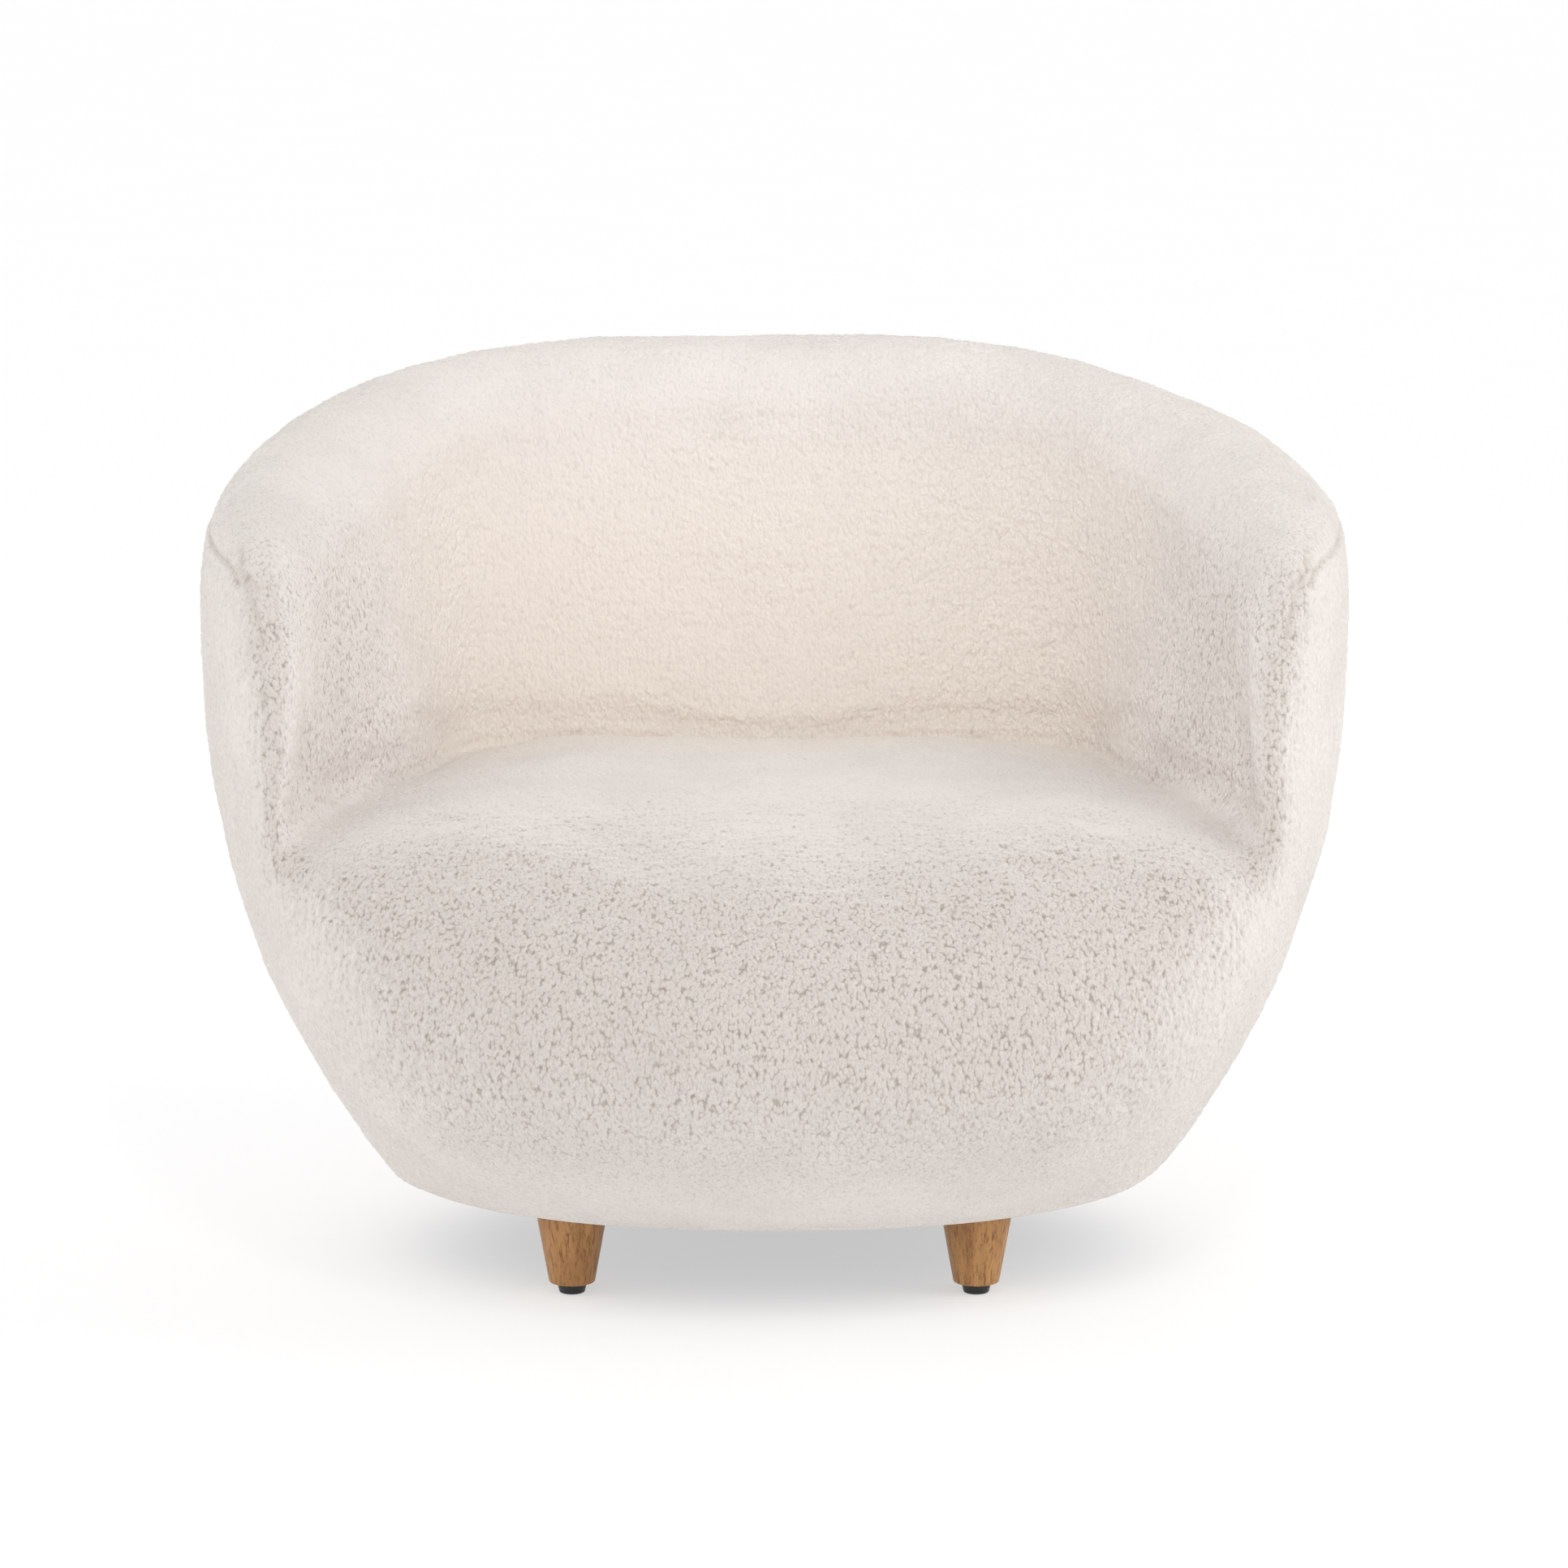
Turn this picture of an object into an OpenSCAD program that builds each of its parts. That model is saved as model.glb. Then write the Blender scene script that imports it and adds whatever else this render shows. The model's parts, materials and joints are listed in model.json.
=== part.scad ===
// Tub armchair: a low, fully upholstered seat with one wrap-around back and arms.
// Millimetres. +Z up, front towards -Y, origin on the floor under the middle of the chair.
// Azimuths are in degrees round the Z axis: 0 is the front, 90 the right arm, 180 the back.

/* [Overall] */
// Half of the overall width
half_width = 428; // [400:1:450]
// Reach of the front of the seat from the middle
front_reach = 388; // [360:1:410]
// Reach of the back from the middle
back_reach = 388; // [370:1:420]
// Height of the rim at the middle of the back
back_height = 668; // [640:1:720]
// How much lower the rim is at the arms' middle than at the back
rim_fall = 74; // [60:1:90]

/* [Body] */
// Underside of the upholstery above the floor
underside = 60; // [58:1:64]
// Half-width of the body's foot
foot_half_width = 288; // [280:1:296]
// Reach of the foot to the front
foot_front = 205; // [200:1:215]
// Reach of the foot to the back
foot_back = 255; // [250:1:265]
// Radius of the rounded edge under the body
foot_round = 30; // [24:1:32]
// Height of the widest line at the sides
waist_height = 490; // [460:1:500]
// Height of the fullest line at the front
bulge_height = 215; // [200:1:230]

/* [Tub] */
// Half the thickness of the padded rim at the back
rim_round = 60; // [56:1:64]
// Half the thickness of the arms at their front
arm_round = 40; // [38:1:46]
// How much the rim is raised at the back corners
corner_rise = 5; // [0:1:8]
// Half-width of the seat at the back corners
seat_half_width = 262; // [250:1:270]
// Reach of the seat to the inside back
seat_back = 203; // [190:1:215]
// How much the arms open towards the front
arm_flare = 100; // [80:5:105]
// Height of the seat's dome
seat_height = 376; // [366:1:385]
// How much the seat falls towards the back and the arms
seat_fall = 34; // [20:1:40]

/* [Layers] */
// Thickness of the covers
cover_t = 3; // [2:0.5:3]
// Thickness of the wadding
wadding_t = 6; // [4:0.5:6]
// Thickness of the moulded foam on the arms, back and front
foam_t = 18; // [14:1:18]
// Thickness of the bent panels
panel_t = 3; // [2:0.5:3]
// Thickness of the plywood
ply_t = 18; // [15:1:18]

/* [Legs] */
// Distance of the legs from the middle line
leg_x = 150; // [140:1:152]
// Distance of the front legs from the middle
leg_front = 145; // [140:1:148]
// Distance of the rear legs from the middle
leg_rear = 155; // [150:1:158]
// Diameter of a leg at its top
leg_top_d = 54; // [48:1:55]
// Diameter of a leg at its foot
leg_foot_d = 34.5; // [30:0.5:40]
// Height of a glide
glide_h = 8; // [6:1:10]
// Diameter of a glide
glide_d = 22.5; // [20:0.5:26]

/* [Springs] */
// Number of seat springs
spring_count = 5; // [3:1:5]
// Diameter of the spring wire
wire_d = 3.8; // [3:0.1:4]
// Width of a spring's loops
spring_w = 48; // [36:1:52]

/* [Hidden] */
gap = 0.4;                                  // air left between neighbouring soft layers
arm_tip = 57.5;                             // azimuth where an arm's front meets the outside
arm_full = 70;                              // azimuth where an arm has its full section
arm_thick = 95;                             // azimuth where an arm has its full thickness
tip_t = 10;                                 // thickness of an arm at its very tip
arm_nose = 18;                              // how far an arm's tip stands in from the outside
back_seam = 125;                            // azimuth of the seams of the outside back
side_power = 2.3;                           // how soon the outside turns upright above its foot
board_in = 12;                              // how far the base board's edge stands in from the foot
wadding_in = cover_t + gap;                 // depths below the finished surface
foam_in = wadding_in + wadding_t + gap;
panel_in = foam_in + foam_t + gap;

rib_inner = panel_in + panel_t + 8;
base_top = underside + 4 + ply_t;
base_bottom = underside + 4;
seat_board_top = 262;
seat_board_bottom = seat_board_top - ply_t;
spring_z = seat_board_top + 6.5;
pad_bottom = spring_z + wire_d / 2 + gap;
pad_t = 4;
foam_bottom = pad_bottom + pad_t + gap;
tilt = 12.4;                                // slope of the rim and of the rail under it
wood = [0.68, 0.50, 0.32];
ply = [0.80, 0.68, 0.48];
pile = [0.93, 0.90, 0.85];
wadding_white = [0.96, 0.96, 0.96];
foam_yellow = [0.93, 0.87, 0.66];
steel = [0.70, 0.71, 0.73];
board_brown = [0.55, 0.42, 0.30];

// ---------- outlines and profiles ----------

function ramp(a, b, x) = let (t = min(1, max(0, (x - a) / (b - a)))) t * t * (3 - 2 * t);
function mix(a, b, t) = a + (b - a) * t;
function from_front(az) = az > 180 ? 360 - az : abs(az);

// Distance of a superellipse from its centre, with its own reach to the front and to the back
function oval(az, side, front, back, n) =
    let (reach = cos(az) > 0 ? front : back)
    pow(pow(abs(sin(az)) / side, n) + pow(abs(cos(az)) / reach, n), -1 / n);
function body_r(az) = oval(az, half_width, front_reach, back_reach, 2.25);
function foot_r(az) = oval(az, foot_half_width, foot_front, foot_back, 2.1);

// Height of the fullest line, and the outside's distance from the axis at a height
function full_z(az) = mix(bulge_height, waist_height, ramp(30, 85, from_front(az)));
function crown_z(az) = min(full_z(az), 300);
function side_r(az, z) =
    let (u = max(0, min(1, (z - underside) / (full_z(az) - underside))))
    foot_r(az) + (body_r(az) - foot_r(az)) * (1 - pow(1 - u, side_power));

// The seat's edge against the arms and the back
function seat_r(az) =
    let (side = seat_half_width + arm_flare * ramp(110, 50, from_front(az)))
    min(body_r(az) - tip_t, oval(az, side, 1200, seat_back, 5));

// Rim of the back and arms: its full height, and how it closes at the front of an arm
function arm_close(az) =
    let (t = min(1, max(0, (from_front(az) - arm_tip) / (arm_full - arm_tip))))
    sqrt(1 - pow(1 - t, 2));
function rim_z(az) =
    let (ff = from_front(az), rise = corner_rise * ramp(118, 142, ff) * ramp(174, 152, ff))
    mix(seat_edge_z(az) + tip_t, back_height + rise - rim_fall * (1 + cos(az)), arm_close(az));
function rim_half(az) =
    let (
        full = mix(arm_round, rim_round, ramp(62, 105, from_front(az))),
        t = min(1, max(0, (from_front(az) - arm_tip) / (arm_thick - arm_tip)))
    )
    min(mix(tip_t / 2, full, sqrt(1 - pow(1 - t, 2))), (body_r(az) - seat_r(az)) / 2 + 8 * arm_close(az));

// Top of the seat at a share q of the body's radius
function seat_z(az, q) =
    let (
        n = mix(3, 6, ramp(10, 60, from_front(az))),
        depth = seat_fall * mix(0.5, 0.9, ramp(140, 175, from_front(az))),
        fall = depth * ramp(50, 80, from_front(az)) * pow(q * body_r(az) / seat_r(az), 4)
    )
    crown_z(az) + (seat_height - crown_z(az)) * sqrt(1 - pow(min(1, q), n)) - fall;
function seat_edge_z(az) = seat_z(az, seat_r(az) / body_r(az));

foot_arc = [0, 1 / 3, 2 / 3, 1];            // shares of the rounded edge under the body
side_steps = [0.12, 0.28, 0.48, 0.72, 1];
rim_arc = [22.5, 45, 67.5, 90, 112.5, 135, 157.5, 180];
inner_steps = [0.3, 0.65, 1];
tuck = 16;                                  // how far a cover turns in under the base board

// Sweep of the rounded edge, from level up to the slope that the outside starts with
function foot_sweep(az) = atan((full_z(az) - underside) / side_power / (body_r(az) - foot_r(az)));
function foot_point(az, share) =
    let (sweep = foot_sweep(az), a = share * sweep)
    [
        foot_r(az) + foot_round * (sin(a) - tan(sweep / 2)),
        underside + foot_round * (1 - cos(a))
    ];

// Under-edge and outside up to height top_z, as [distance from the axis, height]
function outside_profile(az, top_z) = concat(
    [[foot_r(az) - board_in - tuck, underside]],
    [for (s = foot_arc) foot_point(az, s)],
    [for (s = side_steps) let (z = mix(foot_point(az, 1)[1], top_z, s)) [side_r(az, z), z]]
);

// The rest of the wall: over the rim and down the inside to the seat
function wall_profile(az) =
    let (
        h = rim_half(az),
        centre_z = rim_z(az) - h,
        centre_r = body_r(az) - h,
        edge = [centre_r - h, centre_z],
        seat = [seat_r(az), seat_edge_z(az)]
    )
    set_in(az, concat(
        outside_profile(az, centre_z),
        [for (a = rim_arc) [centre_r + h * cos(a), centre_z + h * sin(a)]],
        [for (s = inner_steps) edge + (seat - edge) * s]
    ));

// An arm's tip set in from the outside, above the seat
function set_in(az, p) =
    let (nose = arm_nose * (1 - arm_close(az)), low = seat_edge_z(az) + 10)
    [for (q = p) [q[0] - nose * ramp(low, low + 100, q[1]), q[1]]];
rim_row = len(foot_arc) + len(side_steps);  // last row of the outside

// The seat's top from near the axis to its edge, and, at the front, on down to the foot
seat_shares = [0.16, 0.36, 0.56, 0.74, 0.87, 0.95, 1];
function seat_top_profile(az) =
    let (edge = from_front(az) < arm_tip ? body_r(az) : seat_r(az) - 1.5)
    [for (s = seat_shares) [s * edge, seat_z(az, s * edge / body_r(az))]];
function apron_profile(az) =
    let (p = outside_profile(az, crown_z(az)))
    [for (i = [len(p) - 2 : -1 : 0]) p[i]];
function seat_profile(az) = concat(seat_top_profile(az), apron_profile(az));

// A profile moved inwards by depth; way is 1 or -1, for the side that is inside
function inset(p, depth, way) = [
    for (i = [0 : len(p) - 1])
        let (
            step = p[min(len(p) - 1, i + 1)] - p[max(0, i - 1)],
            size = norm(step)
        )
        [p[i][0] - way * depth * step[1] / size, p[i][1] + way * depth * step[0] / size]
];
function place(p, az) = [p[0] * sin(az), -p[0] * cos(az), p[1]];

// ---------- nets of points and skins between them ----------

function net(columns) = [for (c = columns) each c];
function net_faces(nc, nr) = [
    for (i = [0 : nc - 2], j = [0 : nr - 2])
        let (a = i * nr + j, b = a + nr)
        each [[a, b, b + 1], [a, b + 1, a + 1]]
];
function net_loop(nc, nr) = concat(
    [for (i = [0 : nc - 1]) i * nr],
    [for (j = [1 : nr - 1]) (nc - 1) * nr + j],
    [for (i = [nc - 2 : -1 : 0]) i * nr + nr - 1],
    [for (j = [nr - 2 : -1 : 1]) j]
);

// Closed solid between two nets that share their faces; loop is the nets' open edge
module skin(top, bottom, faces, loop) {
    n = len(top);
    m = len(loop);
    polyhedron(
        points = concat(top, bottom),
        faces = concat(
            [for (f = faces) [f[2], f[1], f[0]]],
            [for (f = faces) [f[0] + n, f[1] + n, f[2] + n]],
            [for (i = [0 : m - 1]) let (a = loop[i], b = loop[(i + 1) % m])
                each [[a, b, a + n], [b, b + n, a + n]]]
        )
    );
}

// Part of the wall between two depths, over some azimuths and rows of its profile
function rows(p, from, to) = [for (j = [from : to]) p[j]];
module wall_layer(azimuths, from, to, depth_out, depth_in) {
    nc = len(azimuths);
    nr = to - from + 1;
    outer = net([for (az = azimuths)
        [for (p = rows(inset(wall_profile(az), depth_out, 1), from, to)) place(p, az)]]);
    inner = net([for (az = azimuths)
        [for (p = rows(inset(wall_profile(az), depth_in, 1), from, to)) place(p, az)]]);
    skin(outer, inner, net_faces(nc, nr), net_loop(nc, nr));
}
tip_azimuths = [arm_tip, 58.2, 59.5, 62, 65.5, arm_full];
last_row = rim_row + len(rim_arc) + len(inner_steps);
seam_row = rim_row + 1;                     // the outside covers end just over the fullest line
function right_azimuths(to) = concat(tip_azimuths, [for (a = [80 : 9 : to]) a]);
function mirrored(list) = [for (i = [len(list) - 1 : -1 : 0]) 360 - list[i]];
arm_azimuths = right_azimuths(back_seam);
back_azimuths = [for (a = [back_seam : 11 : 360 - back_seam]) a];
wall_azimuths = concat(arm_azimuths, [for (i = [1 : len(back_azimuths) - 2]) back_azimuths[i]],
    mirrored(arm_azimuths));
front_azimuths = [-arm_tip, -51, -44, -34, -22, -11, 0, 11, 22, 34, 44, 51, arm_tip];

// ---------- legs and fittings ----------

leg_places = [[-leg_x, -leg_front], [leg_x, -leg_front], [-leg_x, leg_rear], [leg_x, leg_rear]];
bolt_d = 8;
nail_d = 2.4;
clear_d = 0.2;                              // added to a bore
edge = 2;                                   // radius of a leg's lower edge

module leg(i) {
    color(wood)
    translate(leg_places[i])
    difference() {
        rotate_extrude($fn = 96) polygon(concat(
            [[0, glide_h]],
            [for (a = [0 : 15 : 90])
                [leg_foot_d / 2 - edge + edge * sin(a), glide_h + edge - edge * cos(a)]],
            [[leg_top_d / 2, base_bottom], [0, base_bottom]]
        ));
        translate([0, 0, base_bottom - 40]) cylinder(d = bolt_d + clear_d, h = 41, $fn = 48);
        translate([0, 0, glide_h - 1]) cylinder(d = nail_d + clear_d, h = 18, $fn = 24);
    }
}

module glide(i) {
    color([0.06, 0.06, 0.06])
    translate(leg_places[i])
    difference() {
        rotate_extrude($fn = 72) polygon(concat(
            [[0, 0]],
            [for (a = [0 : 15 : 90]) [glide_d / 2 - 3.5 + 2 * sin(a), 2 - 2 * cos(a)]],
            [[glide_d / 2, glide_h], [0, glide_h]]
        ));
        translate([0, 0, 3]) cylinder(d = nail_d + clear_d, h = glide_h, $fn = 24);
    }
}

module at_legs() { for (p = leg_places) translate(p) children(); }
module glide_nails() { color(steel) at_legs() translate([0, 0, 3]) cylinder(d = nail_d, h = 20, $fn = 24); }
module hanger_bolts() {
    color(steel) at_legs() translate([0, 0, base_bottom - 38]) cylinder(d = bolt_d, h = 58, $fn = 48);
}
nut_barrel = 10;
module t_nuts() {
    color(steel) at_legs() difference() {
        union() {
            translate([0, 0, base_top - 12]) cylinder(d = nut_barrel, h = 12.5, $fn = 48);
            translate([0, 0, base_top]) cylinder(d = 22, h = 1.5, $fn = 48);
        }
        translate([0, 0, base_top - 13]) cylinder(d = bolt_d + clear_d, h = 16, $fn = 48);
    }
}

// ---------- plywood frame ----------

step_az = 5;
function outline(reach) = [for (az = [0 : step_az : 359]) let (r = reach(az)) [r * sin(az), -r * cos(az)]];
function rib_clear(az) = mix(57, 19, ramp(50, 62, from_front(az)));
base_reach = function (az) foot_r(az) - board_in;
seat_reach = function (az) side_r(az, seat_board_bottom) - rib_clear(az);
dust_reach = function (az) foot_r(az) - board_in - 6;

lower_ribs = [28, 80, 112, 160];            // azimuths of the ribs between the boards
upper_ribs = [80, 104, 135, 165];           // azimuths of the ribs under the top rail
screw_d = 4;
screw_l = 40;
lower_rib_w = 60;
function screw_r(az) = foot_r(az) - board_in - 34;
module at_screws(ribs) {
    for (az = ribs, way = [-1, 1]) rotate([0, 0, way * az]) translate([0, -screw_r(az), 0]) children();
}

base_opening = [220, 180];                  // width and depth of the opening in the base board
module base_board() {
    color(ply)
    difference() {
        translate([0, 0, base_bottom]) linear_extrude(ply_t) polygon(outline(base_reach));
        translate([0, 0, base_bottom - 1]) linear_extrude(ply_t + 2) square(base_opening, center = true);
        at_legs() translate([0, 0, base_bottom - 1]) cylinder(d = nut_barrel + clear_d, h = ply_t + 2, $fn = 48);
        at_screws(lower_ribs) translate([0, 0, base_bottom - 1])
            cylinder(d = screw_d + clear_d, h = ply_t + 2, $fn = 24);
    }
}

opening = [225, -235, 165];                 // half-width, front and back of the opening for the springs
module seat_board() {
    color(ply)
    difference() {
        translate([0, 0, seat_board_bottom]) linear_extrude(ply_t) polygon(outline(seat_reach));
        translate([-opening[0], opening[1], seat_board_bottom - 1])
            cube([2 * opening[0], opening[2] - opening[1], ply_t + 2]);
    }
}

module radial_board(az, profile) {
    rotate([0, 0, az - 90]) translate([0, ply_t / 2, 0]) rotate([90, 0, 0])
        linear_extrude(ply_t) polygon(profile);
}

rib_heights = [0, 0.2, 0.4, 0.6, 0.8, 1];
module lower_rib(az) {
    zs = [for (s = rib_heights) mix(base_top, seat_board_bottom, s)];
    reach = [for (z = zs) min(side_r(az, z) - rib_clear(az), foot_r(az) - board_in - 16 + (z - base_top))];
    color(ply)
    difference() {
        radial_board(az, concat(
            [for (i = [0 : len(zs) - 1]) [reach[i], zs[i]]],
            [for (i = [len(zs) - 1 : -1 : 0]) [reach[i] - lower_rib_w, zs[i]]]
        ));
        rotate([0, 0, az]) translate([0, -screw_r(az), base_top - 1])
            cylinder(d = screw_d + clear_d, h = screw_l, $fn = 24);
    }
}

rail_z = back_height - rim_fall - 70;       // underside of the top rail at the chair's middle
rail_half = 25;
rail_end = 71;                              // azimuth of the rail's front ends
function inside_edge(az, z) =
    let (top_r = body_r(az) - 2 * rim_half(az), top_z = rim_z(az) - rim_half(az), s = seat_r(az))
    s + (top_r - s) * (z - seat_edge_z(az)) / (top_z - seat_edge_z(az));

module above_rail() {
    translate([0, 0, rail_z]) rotate([tilt, 0, 0]) translate([-600, -600, 0]) cube([1200, 1200, 400]);
}

module upper_rib(az) {
    zs = [for (s = rib_heights) mix(seat_board_top, rim_z(az) - 50, s)];
    color(ply)
    difference() {
        radial_board(az, concat(
            [for (z = zs) [side_r(az, z) - rib_clear(az), z]],
            [for (i = [len(zs) - 1, 0])
                [min(inside_edge(az, zs[i]) + rib_inner, side_r(az, zs[i]) - 50), zs[i]]]
        ));
        above_rail();
    }
}

module top_rail() {
    azimuths = [for (i = [0 : 40]) mix(rail_end, 360 - rail_end, i / 40)];
    function rail_point(az, side) =
        let (r = body_r(az) - rim_half(az) + 9 + side * min(rail_half, rim_half(az) - 25))
        [r * sin(az), -r * cos(az) / cos(tilt)];
    color(ply)
    translate([0, 0, rail_z]) rotate([tilt, 0, 0])
        linear_extrude(ply_t) polygon(concat(
            [for (az = azimuths) rail_point(az, 1)],
            [for (i = [len(azimuths) - 1 : -1 : 0]) rail_point(azimuths[i], -1)]
        ));
}

module frame_screws() {
    color(steel) at_screws(lower_ribs) translate([0, 0, base_bottom]) cylinder(d = screw_d, h = screw_l, $fn = 24);
}

module inner_panel() {
    color(board_brown) wall_layer(panel_azimuths, edge_row, last_row, panel_in, panel_in + panel_t);
}
module outer_panel() {
    color(board_brown) wall_layer(wadding_azimuths, len(foot_arc) + 1, rim_row, foam_in, foam_in + panel_t);
}

// ---------- springs ----------

loops = 7;
steps_per_loop = 8;
spring_ends = [opening[1] - 11, opening[2] + 11];
function spring_point(x, a) =
    [x + spring_w / 2 * sin(a), mix(spring_ends[0], spring_ends[1], a / 360 / loops) + 8 * sin(2 * a), spring_z];
sides = 6;
module seat_spring(i) {
    x = (i - (spring_count + 1) / 2) * 84;
    n = loops * steps_per_loop;
    path = [for (k = [0 : n]) spring_point(x, 360 * k / steps_per_loop)];
    rings = [for (k = [0 : n])
        let (d = path[min(n, k + 1)] - path[max(0, k - 1)], t = d / norm(d), across = [-t[1], t[0], 0])
        each [for (s = [0 : sides - 1]) let (a = 360 * s / sides)
            path[k] + wire_d / 2 * (cos(a) * across + sin(a) * [0, 0, 1])]];
    color(steel)
    polyhedron(points = rings, faces = concat(
        [[for (s = [0 : sides - 1]) s]],
        [for (k = [0 : n - 1], s = [0 : sides - 1])
            let (a = k * sides + s, b = k * sides + (s + 1) % sides)
            each [[a, a + sides, b + sides], [a, b + sides, b]]],
        [[for (s = [sides - 1 : -1 : 0]) n * sides + s]]
    ));
}
module spring_clips() {
    color(steel)
    for (i = [1 : spring_count], back = [0, 1])
        translate([(i - (spring_count + 1) / 2) * 84, spring_ends[back], seat_board_top])
        mirror([0, back, 0])
        difference() {
            translate([-14, -8, 0]) cube([28, 12, 12]);
            translate([-15, -6, 2.5]) cube([30, 12, 7.5]);
        }
}
module tie_wires() {
    color(steel)
    for (y = [-110, -35, 40])
        translate([-opening[0], y, spring_z - wire_d / 2 - 1.5]) rotate([0, 90, 0])
            cylinder(d = 2.4, h = 2 * opening[0], $fn = 24);
}
module spring_pad() {
    color([0.45, 0.45, 0.47])
    translate([-opening[0] - 8, opening[1] + 1, pad_bottom])
        cube([2 * opening[0] + 16, opening[2] - opening[1] - 2, pad_t]);
}

// ---------- soft layers ----------

edge_row = rim_row + len(rim_arc);          // row of the rim's inside edge
panel_azimuths = [for (az = wall_azimuths) if (from_front(az) >= arm_full) az];

module back_foam() { arm_foam(back_azimuths); }
module arm_foam(list) {
    color(foam_yellow) wall_layer(list, rim_row + 2, last_row, foam_in, foam_in + foam_t);
}
foam_azimuths = [for (az = arm_azimuths) if (az >= arm_full) az];

// Solid block inside the front of an arm
block_azimuths = [63, 66, arm_full - 0.5];
block_in = foam_in + panel_t + 3 * gap;
module arm_front_foam(list) {
    sections = [for (az = list) rows(inset(wall_profile(az), block_in, 1), rim_row - 2, last_row)];
    n = len(sections[0]);
    m = len(list);
    end = [for (j = [0 : n / 2 - 2]) each [[j, j + 1, n - 2 - j], [j, n - 2 - j, n - 1 - j]]];
    color(foam_yellow)
    polyhedron(
        points = [for (i = [0 : m - 1]) each [for (p = sections[i]) place(p, list[i])]],
        faces = concat(
            [for (f = end) [f[2], f[1], f[0]]],
            [for (i = [0 : m - 2], j = [0 : n - 1])
                let (a = i * n + j, b = i * n + (j + 1) % n)
                each [[a, b, b + n], [a, b + n, a + n]]],
            [for (f = end) [for (k = f) (m - 1) * n + k]]
        )
    );
}

wadding_azimuths = [for (az = wall_azimuths) if (from_front(az) > 62) az];
module inside_wadding() {
    color(wadding_white) wall_layer(wadding_azimuths, seam_row, last_row, wadding_in, wadding_in + wadding_t);
}
module outside_wadding() {
    color(wadding_white) wall_layer(wadding_azimuths, 2, seam_row, wadding_in, wadding_in + wadding_t);
}
module inside_cover() { color(pile) wall_layer(wall_azimuths, seam_row, last_row, 0, cover_t); }
module outside_cover(list) { color(pile) wall_layer(list, 0, seam_row, 0, cover_t); }

// The seat's layers: a disc of rows round the axis, with the apron's rows at the front azimuths
seat_azimuths = concat(front_azimuths, [for (i = [1 : len(wall_azimuths) - 2]) wall_azimuths[i]]);
front_count = len(front_azimuths);
top_rows = len(seat_shares);
module seat_layer(depth_out, depth_in, apron_rows) {
    n = len(seat_azimuths);
    base = 1 + n * top_rows;
    function layer_points(depth) = concat(
        [[0, 0, seat_height - depth]],
        [for (az = seat_azimuths) each [for (p = rows(inset(seat_profile(az), depth, -1),
            0, top_rows - 1)) place(p, az)]],
        [for (az = front_azimuths) each [for (p = rows(inset(seat_profile(az), depth, -1),
            top_rows, top_rows + apron_rows - 1)) place(p, az)]]
    );
    top = function (i, j) 1 + (i % n) * top_rows + j;
    low = function (i, j) j < 0 ? top(i, top_rows - 1) : base + i * apron_rows + j;
    faces = concat(
        [for (i = [0 : n - 1]) [0, top(i, 0), top(i + 1, 0)]],
        [for (i = [0 : n - 1], j = [0 : top_rows - 2])
            each [[top(i, j), top(i, j + 1), top(i + 1, j + 1)], [top(i, j), top(i + 1, j + 1), top(i + 1, j)]]],
        [for (i = [0 : front_count - 2], j = [-1 : apron_rows - 2])
            each [[low(i, j), low(i, j + 1), low(i + 1, j + 1)], [low(i, j), low(i + 1, j + 1), low(i + 1, j)]]]
    );
    loop = concat(
        [for (j = [-1 : apron_rows - 1]) low(0, j)],
        [for (i = [1 : front_count - 1]) low(i, apron_rows - 1)],
        [for (j = [apron_rows - 2 : -1 : -1]) low(front_count - 1, j)],
        [for (i = [front_count : n - 1]) top(i, top_rows - 1)]
    );
    skin(layer_points(depth_out), layer_points(depth_in), faces, loop);
}
apron_count = len(foot_arc) + len(side_steps);
module seat_cover() {
    color(pile)
    difference() {
        seat_layer(0, cover_t, apron_count);
        at_legs() translate([0, 0, underside - 10]) cylinder(d = leg_top_d + 0.4, h = 15, $fn = 64);
    }
}
module seat_wadding() { color(wadding_white) seat_layer(wadding_in, wadding_in + wadding_t, apron_count - 2); }

module front_foam() {
    azimuths = rows(front_azimuths, 1, front_count - 2);
    nc = len(azimuths);
    first = top_rows - 2;
    count = apron_count - 1;
    outer = net([for (az = azimuths)
        [for (p = rows(inset(seat_profile(az), foam_in, -1), first, first + count - 1)) place(p, az)]]);
    inner = net([for (az = azimuths)
        [for (p = rows(inset(seat_profile(az), foam_in + foam_t, -1), first, first + count - 1)) place(p, az)]]);
    color(foam_yellow)
    skin(outer, inner, [for (f = net_faces(nc, count)) [f[2], f[1], f[0]]],
        [for (i = [2 * (nc + count) - 5 : -1 : 0]) net_loop(nc, count)[i]]);
}

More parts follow.
